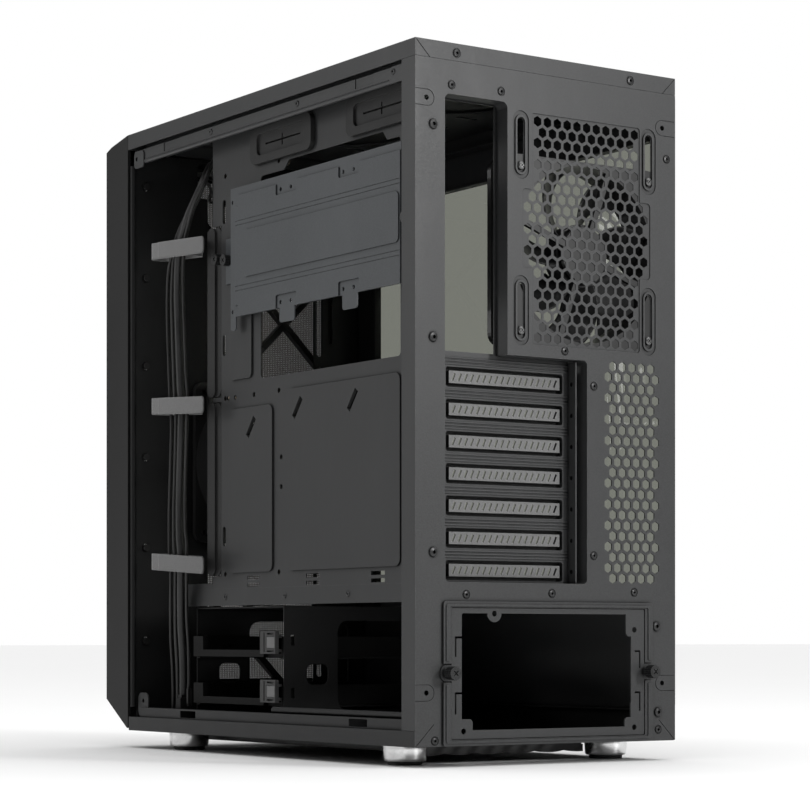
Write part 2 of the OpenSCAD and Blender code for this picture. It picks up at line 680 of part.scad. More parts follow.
module rear_fan_frame() color("#1d1d1f") at_rear_fan() fan_frame();
module rear_fan_rotor() color("#232325") at_rear_fan() fan_rotor();
module rear_fan_screws() color("#4a4a4c") at_rear_fan()
    translate([0, 0, -0.4]) fan_screws() screw_head(2.9, 2);
module front_fan_frame() color("#1d1d1f") at_front_fan() fan_frame();
module front_fan_rotor() color("#232325") at_front_fan() fan_rotor();
module front_fan_screws() color("#4a4a4c") at_front_fan()
    translate([0, 0, -sheet]) fan_screws() screw_head(3.6, 2);

// ---- Front bezel, ports and buttons ----

module bezel_profile(wall) polygon([
    [bezel_back - (wall > 0 ? 1 : 0), body_h - wall], [400 - wall * 0.1, 435 - wall],
    [bezel_front - wall, 432 - wall], [bezel_front - wall, 22.6 + wall * 0.5],
    [376, 1.6 + wall * 1.15], [bezel_back - (wall > 0 ? 1 : 0), 1.6 + wall * 1.15]
]);

module front_bezel() color("#3a3a3d") at_corner() {
    difference() {
        side_sheet(0, body_w) bezel_profile(0);
        side_sheet(2.5, body_w - 5) bezel_profile(2.5);
        block([18, 400, 34], [body_w - 18, 410, 420]);
        block([38, 370, 425], [172, 397.4, 445]);
    }
    for (a = pin_a, h = pin_h) bar_along(a, h, front_wall - 2, bezel_front - 2.5, 2.5);
}

module bezel_lattice() color("#141415") at_corner() cross_sheet(398.9, 5.6) intersection() {
    translate([16, 32]) square([body_w - 32, 390]);
    union() {
        difference() {
            translate([16, 32]) square([body_w - 32, 390]);
            translate([21, 37]) square([body_w - 42, 380]);
        }
        for (k = [-3 : 3], turn = [-45, 45])
            translate([152, 313 + k * 94]) rotate(turn) translate([-300, -2.3]) square([600, 4.6]);
    }
}

module front_mesh() color("#5a5148") at_corner()
    block([16, 404.5, 32], [body_w - 16, 405.5, 422]);

module io_panel() color("#2a2a2c") at_corner() difference() {
    union() {
        block([38.4, bezel_back - skin + 0.2, 434], [171.6, 397, 437.4]);
        block([44, 380, 424], [166, 394, 434]);
    }
    block([46, 382, 423], [164, 392, 432.4]);
    translate([105, 387, 420]) cylinder(r = 5.3, h = 30);
    translate([124, 387, 420]) cylinder(r = 2.3, h = 30);
    for (a = [58, 80]) block([a - 7, 383.8, 420], [a + 7, 390.2, 440]);
    for (a = [140, 153]) translate([a, 387, 420]) cylinder(r = 3.4, h = 30);
}

module io_board() color("#1f4a2c") at_corner() {
    difference() {
        block([44, 376, 419.6], [166, 396, 421.2]);
        for (a = [47, 163]) translate([a, 394, 418]) cylinder(r = 1.6, h = 5);
    }
    for (a = [105, 124]) block([a - 3, 384, 421.2], [a + 3, 390, 424.4]);
    for (a = [46, 163]) block([a - 1.4, 386, 421.2], [a + 1.4, 388, 424]);
    block([100, front_wall + sheet, 419.6], [110, 376, 421.2]);
}

module power_button() color("#252527") at_corner() {
    translate([105, 387, 426]) cylinder(r = 5, h = 12.2);
    translate([105, 387, 426]) cylinder(r = 2, h = 6);
}

module reset_button() color("#252527") at_corner()
    translate([124, 387, 426]) cylinder(r = 2, h = 11.9);

module usb_ports() color("#9a9a9c") at_corner() for (a = [58, 80]) {
    difference() {
        block([a - 6.6, 384.2, 421.2], [a + 6.6, 389.8, 437.8]);
        block([a - 6, 384.8, 422.4], [a + 6, 389.2, 438]);
    }
    block([a - 5, 386.4, 422.4], [a + 5, 388.2, 436]);
}

module audio_jacks() color("#101011") at_corner()
    for (a = [140, 153]) translate([a, 387, 421.2]) difference() {
    cylinder(r = 3.3, h = 16.6);
    translate([0, 0, 2]) cylinder(r = 1.75, h = 16);
}

// ---- Glass panel ----

glass_points = [for (b = [24, 348], h = [40, 412]) [b, h]];

module glass_panel() color("#59605a", 0.6) at_corner() difference() {
    side_sheet(body_w + skin, glass_t) rounded([4, 22], [372, 429], 2);
    for (p = glass_points) bar_across(body_w - 1, body_w + 6, p.x, p.y, 4.2);
}

module glass_grommets() color("#111112") at_corner() for (p = glass_points) difference() {
    union() {
        bar_across(body_w + skin, body_w + skin + glass_t, p.x, p.y, 4.2);
        bar_across(body_w + skin + glass_t, body_w + skin + glass_t + 0.8, p.x, p.y, 6.4);
    }
    bar_across(body_w - 1, body_w + 8, p.x, p.y, 2.1);
}

module glass_thumbscrews() color("#1d1d1f") at_corner() for (p = glass_points) {
    facing_glass(body_w + skin + glass_t + 0.8, p.x, p.y) thumbscrew(5.6, 2.6, 4, 0.2);
    bar_across(body_w - 3, body_w + skin + glass_t + 1, p.x, p.y, 1.9);
}

// ---- Dust filters ----

module top_filter_frame() color("#1e1e20") at_corner() level_sheet(body_h - 3.4, 3) difference() {
    rounded([30.6, 34.6], [179.4, 329.4], 5.4);
    rounded([38, 42], [172, 178], 4);
    rounded([38, 186], [172, 322], 4);
}

module top_filter_mesh() color("#2c2c2e") at_corner() level_sheet(body_h - 2.6, 0.6) {
    rounded([38, 42], [172, 178], 4);
    rounded([38, 186], [172, 322], 4);
}

module filter_windows() {
    rounded([52, 60], [158, 150], 4);
    rounded([52, 158], [158, 240], 4);
    rounded([52, 248], [158, 330], 4);
}

module base_filter_frame() color("#1b1b1c") at_corner() {
    level_sheet(-3.2, 2.8) difference() {
        rounded([39.2, 48], [170.8, 340], 4);
        filter_windows();
    }
    level_sheet(-6.4, 3.2) difference() {
        rounded([44, 48], [166, 336], 3);
        rounded([47, 51.5], [163, 332], 2);
    }
    // Wavy grip along the rear edge
    intersection() {
        block([40, 48, -9], [170, 51.5, -3]);
        for (i = [0 : 5]) bar_along(44 + i * 24.5, 52, 40, 60, 60);
    }
}

module base_filter_mesh() color("#2c2c2e") at_corner() level_sheet(-2.4, 0.6) filter_windows();

// ---- Feet ----

module feet() color("#c9cacc") at_corner() for (a = foot_a, b = foot_b) translate([a, b, 0]) difference() {
    rotate_extrude() polygon([
        [0, 0], [foot_r, 0], [foot_r, -1.2], [foot_r - 1, -foot_h + 3.2], [foot_r - 1.8, -foot_h + 2.4],
        [foot_r - 3.4, -foot_h + 2.4], [foot_r - 3.4, -foot_h + 3.4], [0, -foot_h + 3.4]
    ]);
    translate([0, 0, -foot_h]) cylinder(r = 1.9, h = foot_h + 1);
}

module foot_pads() color("#121213") at_corner() for (a = foot_a, b = foot_b) translate([a, b, -foot_h])
    rotate_extrude() polygon([[3, 0], [foot_r - 4.6, 0], [foot_r - 3.6, 0.8], [foot_r - 3.6, 3.4], [3, 3.4]]);

// ---- Cables ----

function unit(v) = v / norm(v);
function between(p, i, t) =
    let (a = p[max(i - 1, 0)], b = p[i], c = p[i + 1], d = p[min(i + 2, len(p) - 1)])
    0.5 * (2 * b + (c - a) * t + (2 * a - 5 * b + 4 * c - d) * t * t + (3 * b - a - 3 * c + d) * t * t * t);
function smooth(p, steps) = [
    for (i = [0 : len(p) - 2], k = [0 : steps - 1]) between(p, i, k / steps), p[len(p) - 1]
];
function heading(p, i) = unit(p[min(i + 1, len(p) - 1)] - p[max(i - 1, 0)]);

// A round tube swept along a route that never runs straight across the case
module swept_tube(p, r) {
    sides = 8;
    n = len(p);
    rings = [
        for (i = [0 : n - 1])
            let (t = heading(p, i), u = unit(cross([1, 0.1, 0], t)), v = cross(t, u))
            for (k = [0 : sides - 1]) p[i] + r * (cos(45 * k) * u + sin(45 * k) * v)
    ];
    walls = [
        for (i = [0 : n - 2], k = [0 : sides - 1])
            let (m = (k + 1) % sides, q = i * sides) [q + k, q + m, q + sides + m, q + sides + k]
    ];
    ends = [[for (k = [sides - 1 : -1 : 0]) k], [for (k = [0 : sides - 1]) (n - 1) * sides + k]];
    polyhedron(rings, concat(walls, ends), convexity = 6);
}

// A route beside another one, kept apart both where it runs forward and where it hangs
function beside(p, s) = [for (q = p) q + [s.x, s.y, -0.7 * s.y]];

module port_cable() color("#2b2b2e") at_corner() swept_tube(smooth(cable_route, 4), port_cable_r);

module panel_wires() color("#1c1c1e") at_corner()
    for (s = wire_offsets) swept_tube(smooth(beside(cable_route, s), 2), wire_r);

module cable_connectors() color("#101012") at_corner() {
    end = cable_route[len(cable_route) - 1];
    start = cable_route[0];
    // Header block under the port board, with a stub for each lead
    block([88, 365.5, 399.8], [96, 398, 419.6]);
    translate(start) block([0, -3.4, -3.4], [88 - start.x, 3.4, 3.4]);
    for (s = wire_offsets)
        translate(start + [s.x, s.y, -0.7 * s.y]) block([0, -1.4, -1.4], [88 - start.x - s.x, 1.4, 1.4]);
    // Plugs at the lower ends
    translate(end) block([-4.4, -3.6, -22], [4.4, 3.6, 0]);
    for (s = wire_offsets) translate(end + [s.x, s.y, -0.7 * s.y]) block([-1.4, -1.3, -13], [1.4, 1.3, 0]);
}

module cable_strap(h) color("#454548") at_corner()
    translate([0, 347, h]) rotate([3.4, 0, 0]) translate([0, -347, 0]) {
        difference() {
            level_sheet(-6.2, 12.4) rounded([2.4, 288], [17.2, 347.2], 6.4);
            level_sheet(-7, 14) rounded([3.8, 289.4], [15.8, 345.8], 5);
        }
        // Loose end, which lies over the outside of the loop
        side_sheet(1.2, 1.2) rounded([264.6, -6.2], [330, 6.2], 2.5);
    }

// ---- Fasteners ----

module blind_rivets() color("#19191a") at_corner() {
    for (p = rear_rivets) facing_rear(p.x, 0.4, p.y) rivet(2.5);
    for (p = big_rivets) facing_rear(p.x, 0.6, p.y) rivet(3.4);
    for (a = lip_rivets) facing_rear(a, 0.4, 434) rivet(2.6);
    for (p = rail_rivets) facing_open(p.x, p.y, 423.6) rivet(2);
    for (b = [264, 184, 105]) facing_open(tray_a, b, 97) rivet(2);
}

rear_panel();
base_pan();
top_panel();
side_rail_open();
side_rail_glass();
front_frame();
motherboard_tray();
psu_shroud();
hdd_cage();
hdd_sled(1);  // hdd_sled_upper
hdd_sled(0);  // hdd_sled_lower
hdd_latch(1);  // hdd_latch_upper
hdd_latch(0);  // hdd_latch_lower
ssd_bracket();
ssd_thumbscrews();
tray_grommets();
cable_edge_trims();
slot_cover(0);  // slot_cover_1
slot_cover(1);  // slot_cover_2
slot_cover(2);  // slot_cover_3
slot_cover(3);  // slot_cover_4
slot_cover(4);  // slot_cover_5
slot_cover(5);  // slot_cover_6
slot_cover(6);  // slot_cover_7
slot_screws();
psu_bracket();
psu_thumbscrews();
rear_fan_frame();
rear_fan_rotor();
rear_fan_screws();
front_fan_frame();
front_fan_rotor();
front_fan_screws();
front_bezel();
bezel_lattice();
front_mesh();
io_panel();
io_board();
power_button();
reset_button();
usb_ports();
audio_jacks();
glass_panel();
glass_grommets();
glass_thumbscrews();
top_filter_frame();
top_filter_mesh();
base_filter_frame();
base_filter_mesh();
feet();
foot_pads();
cable_strap(strap_h[0]);  // cable_strap_upper
cable_strap(strap_h[1]);  // cable_strap_middle
cable_strap(strap_h[2]);  // cable_strap_lower
port_cable();
panel_wires();
cable_connectors();
blind_rivets();
motherboard_standoffs();
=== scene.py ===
"""Desktop computer tower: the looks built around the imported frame."""

import json
import math

import bmesh
import bpy
from mathutils import Matrix, Vector

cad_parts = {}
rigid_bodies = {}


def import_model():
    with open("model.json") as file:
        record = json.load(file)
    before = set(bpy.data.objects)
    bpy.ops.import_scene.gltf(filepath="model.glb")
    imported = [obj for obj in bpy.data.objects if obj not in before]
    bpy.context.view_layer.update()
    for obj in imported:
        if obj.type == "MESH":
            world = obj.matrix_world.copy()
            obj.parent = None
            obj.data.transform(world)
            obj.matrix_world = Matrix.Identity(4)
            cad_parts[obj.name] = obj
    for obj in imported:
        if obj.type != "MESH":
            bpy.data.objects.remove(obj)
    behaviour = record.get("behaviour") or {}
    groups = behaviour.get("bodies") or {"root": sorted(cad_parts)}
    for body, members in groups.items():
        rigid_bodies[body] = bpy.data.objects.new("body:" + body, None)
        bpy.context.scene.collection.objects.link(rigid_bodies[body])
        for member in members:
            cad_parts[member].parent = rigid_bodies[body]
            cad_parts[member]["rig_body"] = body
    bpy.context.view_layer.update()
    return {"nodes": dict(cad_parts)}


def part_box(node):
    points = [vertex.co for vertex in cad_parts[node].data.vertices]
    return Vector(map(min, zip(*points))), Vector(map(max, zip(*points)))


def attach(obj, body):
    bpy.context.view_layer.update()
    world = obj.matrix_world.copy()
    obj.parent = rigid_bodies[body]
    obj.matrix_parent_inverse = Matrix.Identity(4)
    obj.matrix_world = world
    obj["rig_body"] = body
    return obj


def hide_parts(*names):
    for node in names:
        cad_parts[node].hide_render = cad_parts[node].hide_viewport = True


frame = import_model()
nodes = frame["nodes"]
MM = 0.001


# ---- Material kit ----


class Graph:
    """A material whose nodes are added by short calls."""

    def __init__(self, name, roughness=0.5, metallic=0.0):
        self.mat = bpy.data.materials.new(name)
        self.mat.use_nodes = True
        self.tree = self.mat.node_tree
        self.bsdf = self.tree.nodes["Principled BSDF"]
        self.bsdf.inputs["Roughness"].default_value = roughness
        self.bsdf.inputs["Metallic"].default_value = metallic
        self.coords = self.node("ShaderNodeTexCoord").outputs["Object"]

    def node(self, kind, **settings):
        n = self.tree.nodes.new(kind)
        for key, value in settings.items():
            setattr(n, key, value)
        return n

    def plug(self, value, socket):
        if isinstance(value, bpy.types.NodeSocket):
            self.tree.links.new(value, socket)
        else:
            socket.default_value = value

    def stretch(self, scale):
        n = self.node("ShaderNodeMapping")
        n.inputs["Scale"].default_value = scale
        self.plug(self.coords, n.inputs["Vector"])
        return n.outputs["Vector"]

    def noise(self, scale, detail=3.0, rough=0.6, vector=None):
        n = self.node("ShaderNodeTexNoise")
        n.inputs["Scale"].default_value = scale
        n.inputs["Detail"].default_value = detail
        n.inputs["Roughness"].default_value = rough
        self.plug(vector or self.coords, n.inputs["Vector"])
        return n.outputs["Fac"]

    def wave(self, scale, direction, distortion):
        n = self.node("ShaderNodeTexWave", bands_direction=direction)
        n.inputs["Scale"].default_value = scale
        n.inputs["Distortion"].default_value = distortion
        self.plug(self.coords, n.inputs["Vector"])
        return n.outputs["Fac"]

    def math(self, operation, a, b=0.0):
        n = self.node("ShaderNodeMath", operation=operation)
        self.plug(a, n.inputs[0])
        self.plug(b, n.inputs[1])
        return n.outputs[0]

    def span(self, value, low, high, new_low=0.0, new_high=1.0):
        n = self.node("ShaderNodeMapRange")
        for i, v in enumerate((value, low, high, new_low, new_high)):
            self.plug(v, n.inputs[i])
        return n.outputs[0]

    def mix(self, factor, a, b):
        n = self.node("ShaderNodeMix", data_type="RGBA")
        self.plug(factor, n.inputs[0])
        for value, socket in ((a, n.inputs[6]), (b, n.inputs[7])):
            self.plug(value if not isinstance(value, tuple) else (*value, 1.0), socket)
        return n.outputs[2]

    def edges(self, radius=0.6 * MM):
        """1 along sharp edges, 0 on faces."""
        bevel = self.node("ShaderNodeBevel", samples=4)
        bevel.inputs["Radius"].default_value = radius
        flat = self.node("ShaderNodeNewGeometry").outputs["Normal"]
        dot = self.node("ShaderNodeVectorMath", operation="DOT_PRODUCT")
        self.plug(bevel.outputs[0], dot.inputs[0])
        self.plug(flat, dot.inputs[1])
        return self.span(dot.outputs["Value"], 0.99, 0.8)

    def unshaded_mask(self, distance=3.0 * MM):
        """Mask for painted shade: 1 on open faces, falling to 0 in joints, folds and grooves."""
        n = self.node("ShaderNodeAmbientOcclusion", samples=6)
        n.inputs["Distance"].default_value = distance
        return self.span(n.outputs["AO"], 0.35, 0.9)

    def bump(self, *layers):
        """Stacks (height, strength, distance) layers into the normal."""
        last = None
        for height, strength, distance in layers:
            n = self.node("ShaderNodeBump")
            n.inputs["Strength"].default_value = strength
            n.inputs["Distance"].default_value = distance
            self.plug(height, n.inputs["Height"])
            if last:
                self.plug(last, n.inputs["Normal"])
            last = n.outputs["Normal"]
        self.plug(last, self.bsdf.inputs["Normal"])

    def color(self, value):
        self.plug(value, self.bsdf.inputs["Base Color"])

    def rough(self, value):
        self.plug(value, self.bsdf.inputs["Roughness"])


def grey(level, warm=0.0):
    return (level * (1 + warm), level, level * (1 - warm))


def powder_coat(
    name, base, grain=1100.0, rough=(0.36, 0.5), warm=-0.02, wear=0.35, shine=0.34, shade_reach=3.0 * MM
):
    """Fine sanded powder coat over steel, with rubbed edges, painted shade in joints and grooves, and
    faint handling marks.
    """
    g = Graph(name)
    speck = g.noise(grain, 2.0, 0.7)
    peel = g.noise(grain * 0.32, 2.0)
    cloud = g.noise(9.0, 4.0)
    smear = g.noise(30.0, 5.0, 0.7, g.stretch((1.0, 1.0, 0.25)))
    edge = g.math("MULTIPLY", g.edges(), g.span(g.noise(160.0), 0.35, 0.7))
    tone = g.mix(g.span(cloud, 0.3, 0.7), grey(base * 0.86, warm), grey(base * 1.12, warm))
    tone = g.mix(g.span(speck, 0.35, 0.75), tone, grey(base * 1.5, warm))
    tone = g.mix(g.math("MULTIPLY", edge, wear), tone, grey(min(base * 4 + 0.06, 0.5), warm))
    # painted shade: joints, folds and grooves turn near-black and lose their shine
    unshaded = g.unshaded_mask(shade_reach)
    g.color(g.mix(unshaded, grey(base * 0.12, warm), tone))
    g.plug(g.span(unshaded, 0.0, 1.0, shine * 0.2, shine), g.bsdf.inputs["Specular IOR Level"])
    worn = g.math("MULTIPLY", g.span(smear, 0.45, 0.75), 0.06)
    g.rough(g.math("SUBTRACT", g.span(speck, 0.3, 0.7, rough[0], rough[1]), worn))
    g.bump((peel, 0.14, 0.25 * MM), (speck, 0.22, 0.12 * MM))
    return g.mat


def moulded(name, base, rough=(0.4, 0.55), sheen=0.0, shine=0.32):
    """Spark-textured moulded plastic."""
    g = Graph(name)
    g.bsdf.inputs["Specular IOR Level"].default_value = shine
    speck = g.noise(1500.0, 2.0, 0.6)
    cloud = g.noise(14.0, 4.0)
    tone = g.mix(g.span(cloud, 0.3, 0.7), grey(base * 0.8), grey(base * 1.25))
    tone = g.mix(g.math("MULTIPLY", g.edges(0.4 * MM), 0.3), tone, grey(base * 2.2 + 0.03))
    g.color(tone)
    g.rough(g.span(speck, 0.3, 0.7, rough[0], rough[1]))
    g.bump((speck, 0.18, 0.1 * MM))
    g.bsdf.inputs["Coat Weight"].default_value = sheen
    return g.mat


def soft_rubber(name, base):
    g = Graph(name)
    bloom = g.noise(45.0, 6.0, 0.7)
    speck = g.noise(2200.0, 2.0)
    g.color(g.mix(g.span(bloom, 0.4, 0.75), grey(base), grey(base * 2.4)))
    g.rough(g.span(bloom, 0.3, 0.7, 0.55, 0.75))
    g.bump((speck, 0.2, 0.08 * MM))
    return g.mat


def plated(name, base, rough=(0.08, 0.2), warm=0.0):
    """Plated or bare metal, with fine turning marks and a few scuffs."""
    g = Graph(name, metallic=1.0)
    marks = g.noise(700.0, 4.0, 0.7, g.stretch((1.0, 1.0, 7.0)))
    scuff = g.noise(120.0, 5.0, 0.8)
    g.color(g.mix(g.span(scuff, 0.5, 0.8), grey(base, warm), grey(base * 0.72, warm)))
    g.rough(g.span(scuff, 0.3, 0.75, rough[0], rough[1]))
    g.bump((marks, 0.05, 0.04 * MM))
    return g.mat


def screen(name, base, pitch, open_part, axes=(0, 2), warm=0.0):
    """A fine woven screen whose holes are cut out by alpha."""
    g = Graph(name)
    waves = []
    for axis in axes:
        dot = g.node("ShaderNodeVectorMath", operation="DOT_PRODUCT")
        g.plug(g.coords, dot.inputs[0])
        dot.inputs[1].default_value = [float(i == axis) for i in range(3)]
        turn = g.math("MULTIPLY", dot.outputs["Value"], math.pi / pitch)
        waves.append(g.math("ABSOLUTE", g.math("SINE", turn)))
    hole = g.math("MULTIPLY", *(g.math("GREATER_THAN", w, 1 - open_part) for w in waves))
    cloud = g.noise(25.0, 4.0)
    g.color(g.mix(g.span(cloud, 0.3, 0.7), grey(base * 0.7, warm), grey(base * 1.3, warm)))
    g.plug(g.math("SUBTRACT", 1.0, hole), g.bsdf.inputs["Alpha"])
    g.rough(g.span(cloud, 0.3, 0.7, 0.4, 0.6))
    g.bump((g.math("MAXIMUM", *waves), 0.5, 0.2 * MM))
    return g.mat


def tinted_glass(name):
    g = Graph(name, roughness=0.0)
    print_marks = g.noise(22.0, 6.0, 0.75)
    g.rough(g.span(print_marks, 0.5, 0.9, 0.0, 0.05))
    g.color(g.mix(g.noise(4.0), (0.2, 0.207, 0.18), (0.21, 0.217, 0.19)))
    g.bsdf.inputs["Transmission Weight"].default_value = 1.0
    g.bsdf.inputs["IOR"].default_value = 1.5
    return g.mat


def brushed_strap(name, base):
    """Grey hook-and-loop strap: short nap over a ribbed weave."""
    g = Graph(name)
    nap = g.noise(1300.0, 4.0, 0.8, g.stretch((1.0, 1.0, 0.5)))
    rib = g.wave(420.0, "Z", 2.0)
    cloud = g.noise(60.0, 4.0)
    tone = g.mix(g.span(nap, 0.3, 0.7), grey(base * 0.55), grey(base * 1.6))
    g.color(g.mix(g.math("MULTIPLY", g.span(cloud, 0.3, 0.7), 0.4), tone, grey(base * 1.3)))
    g.rough(g.span(nap, 0.3, 0.7, 0.8, 0.97))
    g.bsdf.inputs["Sheen Weight"].default_value = 0.5
    g.bump((rib, 0.3, 0.2 * MM), (nap, 0.7, 0.3 * MM))
    return g.mat


def sheath(name, base, ridges=0.0):
    """Extruded cable sheath, with a faint twist where ridges is set."""
    g = Graph(name)
    twist = g.wave(340.0, "Z", 1.5)
    dust = g.noise(60.0, 5.0, 0.7)
    tone = g.mix(g.span(dust, 0.4, 0.75), grey(base), grey(base * 2.0))
    g.color(g.mix(g.math("MULTIPLY", twist, ridges), tone, grey(base * 3.0)))
    g.rough(g.span(dust, 0.3, 0.7, 0.35, 0.55))
    g.bump((twist, 0.1 + ridges, 0.1 * MM), (dust, 0.1, 0.05 * MM))
    return g.mat


def lacquered_board(name):
    g = Graph(name, roughness=0.3)
    trace = g.wave(130.0, "X", 6.0)
    g.color(g.mix(g.span(trace, 0.45, 0.55), (0.006, 0.007, 0.006), (0.012, 0.014, 0.012)))
    g.bump((trace, 0.2, 0.05 * MM))
    return g.mat


case_steel = powder_coat("case_steel", 0.027)
# a darker, duller copy of the case paint for the base pan: painted shade
rim_shade_steel = powder_coat("rim_shade_steel", 0.016, shine=0.26)
inner_steel = powder_coat("inner_steel", 0.022, rough=(0.42, 0.55), wear=0.25)
shaded_steel = powder_coat("shaded_steel", 0.007, rough=(0.42, 0.55), wear=0.15, shine=0.2)
bracket_steel = powder_coat(
    "bracket_steel", 0.05, grain=1500.0, rough=(0.4, 0.48), warm=-0.07, wear=0.3
)
# the slot covers take painted shade from further away, which blackens the gaps round their vents
slot_steel = powder_coat(
    "slot_steel", 0.11, grain=1500.0, rough=(0.34, 0.44), warm=0.0, wear=0.4, shade_reach=6.0 * MM
)
black_steel = powder_coat("black_steel", 0.012, grain=2200.0, rough=(0.25, 0.4), wear=0.5)
bezel_plastic = moulded("bezel_plastic", 0.008, shine=0.26)
black_plastic = moulded("black_plastic", 0.006)
# a darker, duller copy of the black plastic for the drive sleds: painted shade
sled_shade_plastic = moulded("sled_shade_plastic", 0.003, rough=(0.5, 0.65), shine=0.14)
fan_plastic = moulded("fan_plastic", 0.014, rough=(0.3, 0.42), sheen=0.2)
latch_plastic = moulded("latch_plastic", 0.035, rough=(0.3, 0.42))
pad_plastic = moulded("pad_plastic", 0.16, rough=(0.3, 0.42))
black_rubber = soft_rubber("black_rubber", 0.008)
chrome = plated("chrome", 0.78)
zinc = plated("zinc", 0.12, rough=(0.3, 0.45))
port_metal = plated("port_metal", 0.6, rough=(0.18, 0.35))
dark_brass = plated("dark_brass", 0.16, rough=(0.25, 0.4), warm=0.2)
trim_rubber = moulded("trim_rubber", 0.012, rough=(0.42, 0.6))
glass = tinted_glass("tinted_glass")
strap_cloth = brushed_strap("strap_cloth", 0.05)
front_screen = screen("front_screen", 0.06, 1.5 * MM, 0.3, warm=0.14)
filter_screen = screen("filter_screen", 0.012, 1.2 * MM, 0.16, axes=(0, 1))
board_black = lacquered_board("board_black")
cable_sheath = sheath("cable_sheath", 0.008)
wire_sheath = sheath("wire_sheath", 0.004, ridges=0.25)

FINISH = {
    "rear_panel": case_steel, "top_panel": case_steel, "base_pan": rim_shade_steel,
    "side_rail_open": case_steel, "side_rail_glass": inner_steel, "front_frame": shaded_steel,
    "motherboard_tray": inner_steel, "psu_shroud": inner_steel, "hdd_cage": shaded_steel,
    "ssd_bracket": bracket_steel, "psu_bracket": case_steel, "ssd_thumbscrews": black_steel,
    "psu_thumbscrews": black_steel, "glass_thumbscrews": black_steel, "slot_screws": black_steel,
    "blind_rivets": black_steel, "rear_fan_screws": zinc, "front_fan_screws": zinc,
    "rear_fan_frame": fan_plastic, "rear_fan_rotor": fan_plastic, "front_fan_frame": fan_plastic,
    "front_fan_rotor": fan_plastic, "front_bezel": bezel_plastic, "bezel_lattice": black_plastic,
    "front_mesh": front_screen, "io_panel": black_plastic, "io_board": board_black,
    "power_button": black_plastic, "reset_button": black_plastic, "usb_ports": port_metal,
    "audio_jacks": black_plastic, "glass_panel": glass, "glass_grommets": black_rubber,
    "top_filter_frame": black_plastic, "top_filter_mesh": filter_screen,
    "base_filter_frame": black_plastic, "base_filter_mesh": filter_screen, "feet": chrome,
    "foot_pads": black_rubber, "port_cable": black_rubber, "panel_wires": black_rubber,
    "cable_connectors": black_plastic, "tray_grommets": black_rubber,
    "cable_edge_trims": trim_rubber, "motherboard_standoffs": dark_brass,
    "hdd_sled_upper": sled_shade_plastic, "hdd_sled_lower": sled_shade_plastic,
    "hdd_latch_upper": latch_plastic, "hdd_latch_lower": latch_plastic,
    "cable_strap_upper": strap_cloth, "cable_strap_middle": strap_cloth,
    "cable_strap_lower": strap_cloth,
}
for node_name, node_obj in nodes.items():
    node_obj.data.materials.clear()
    node_obj.data.materials.append(FINISH.get(node_name, slot_steel))


# ---- Piece kit ----

roof_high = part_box("top_panel")[1]
CORNER = Vector((roof_high.x, roof_high.y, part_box("feet")[1].z))
AROUND = 2 * math.pi
ON_AXIS = 0.0005 * MM  # radius of a lathed point that closes on the axis


def at_corner(inward, forward, up):
    """A point in mm from the lower rear corner of the open side."""
    return CORNER + Vector((-inward, -forward, up)) * MM


def show(name, data, body, material, *replaced, slot=None):
    """Adds a piece that rides on a body and, where told, stands for CAD nodes."""
    obj = bpy.data.objects.new(name, data)
    bpy.context.scene.collection.objects.link(obj)
    data.materials.append(material)
    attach(obj, body)
    if replaced:
        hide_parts(*replaced)
    return obj


def finished(bm, name, smooth=True):
    """Turns a bmesh into a clean mesh with its faces outward."""
    bmesh.ops.remove_doubles(bm, verts=bm.verts, dist=1e-7)
    bmesh.ops.recalc_face_normals(bm, faces=bm.faces)
    mesh = bpy.data.meshes.new(name)
    bm.to_mesh(mesh)
    bm.free()
    if smooth:
        mesh.shade_smooth()
    return mesh


def modify(obj, kind, **settings):
    m = obj.modifiers.new(kind.lower(), kind)
    for key, value in settings.items():
        setattr(m, key, value)


def rounded_edges(obj, width, segments=2, angle=35.0):
    modify(
        obj, "BEVEL", width=width, segments=segments, limit_method="ANGLE",
        angle_limit=math.radians(angle),
    )


def grid(bm, rows, closed=False):
    """Skins a list of equally long rows of points."""
    made = [[bm.verts.new(p) for p in row] for row in rows]
    count = len(made[0])
    last = count if closed else count - 1
    for near, far in zip(made, made[1:]):
        for i in range(last):
            k = (i + 1) % count
            bm.faces.new((near[i], near[k], far[k], far[i]))
    return made


def lathe(bm, profile, place, segments=96):
    """Turns (radius, height) points about a local z axis set by the matrix place."""
    turns = [AROUND * i / segments for i in range(segments)]
    rows = [
        [place @ Vector((radius * math.cos(t), radius * math.sin(t), height)) for t in turns]
        for radius, height in profile
    ]
    made = grid(bm, rows, closed=True)
    for ring, (radius, _) in ((made[0], profile[0]), (made[-1], profile[-1])):
        if radius > 1e-9:
            bm.faces.new(ring)


def refined(node):
    """A copy of a CAD node with rounded edges, shown in its place."""
    source = nodes[node]
    bm = bmesh.new()
    bm.from_mesh(source.data)
    bmesh.ops.remove_doubles(bm, verts=bm.verts, dist=2e-6)
    bmesh.ops.dissolve_limit(bm, angle_limit=math.radians(1.0), verts=bm.verts, edges=bm.edges)
    name = f"{node}_soft"
    mesh = finished(bm, name, smooth=False)
    obj = show(name, mesh, source["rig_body"], source.data.materials[0], node)
    rounded_edges(obj, 0.22 * MM, 2, 30.0)
    obj.data.shade_smooth()
    obj.data.set_sharp_from_angle(angle=math.radians(30))
    modify(obj, "WEIGHTED_NORMAL", weight=100, keep_sharp=True)


REFINED = [
    "rear_panel", "top_panel", "base_pan", "side_rail_open", "front_frame", "motherboard_tray",
    "psu_shroud", "hdd_cage", "ssd_bracket", "psu_bracket", "front_bezel", "hdd_latch_upper",
    "hdd_latch_lower", "tray_grommets", "cable_edge_trims", "side_rail_glass",
]


# ---- Feet ----

FOOT_R = 14.8 * MM


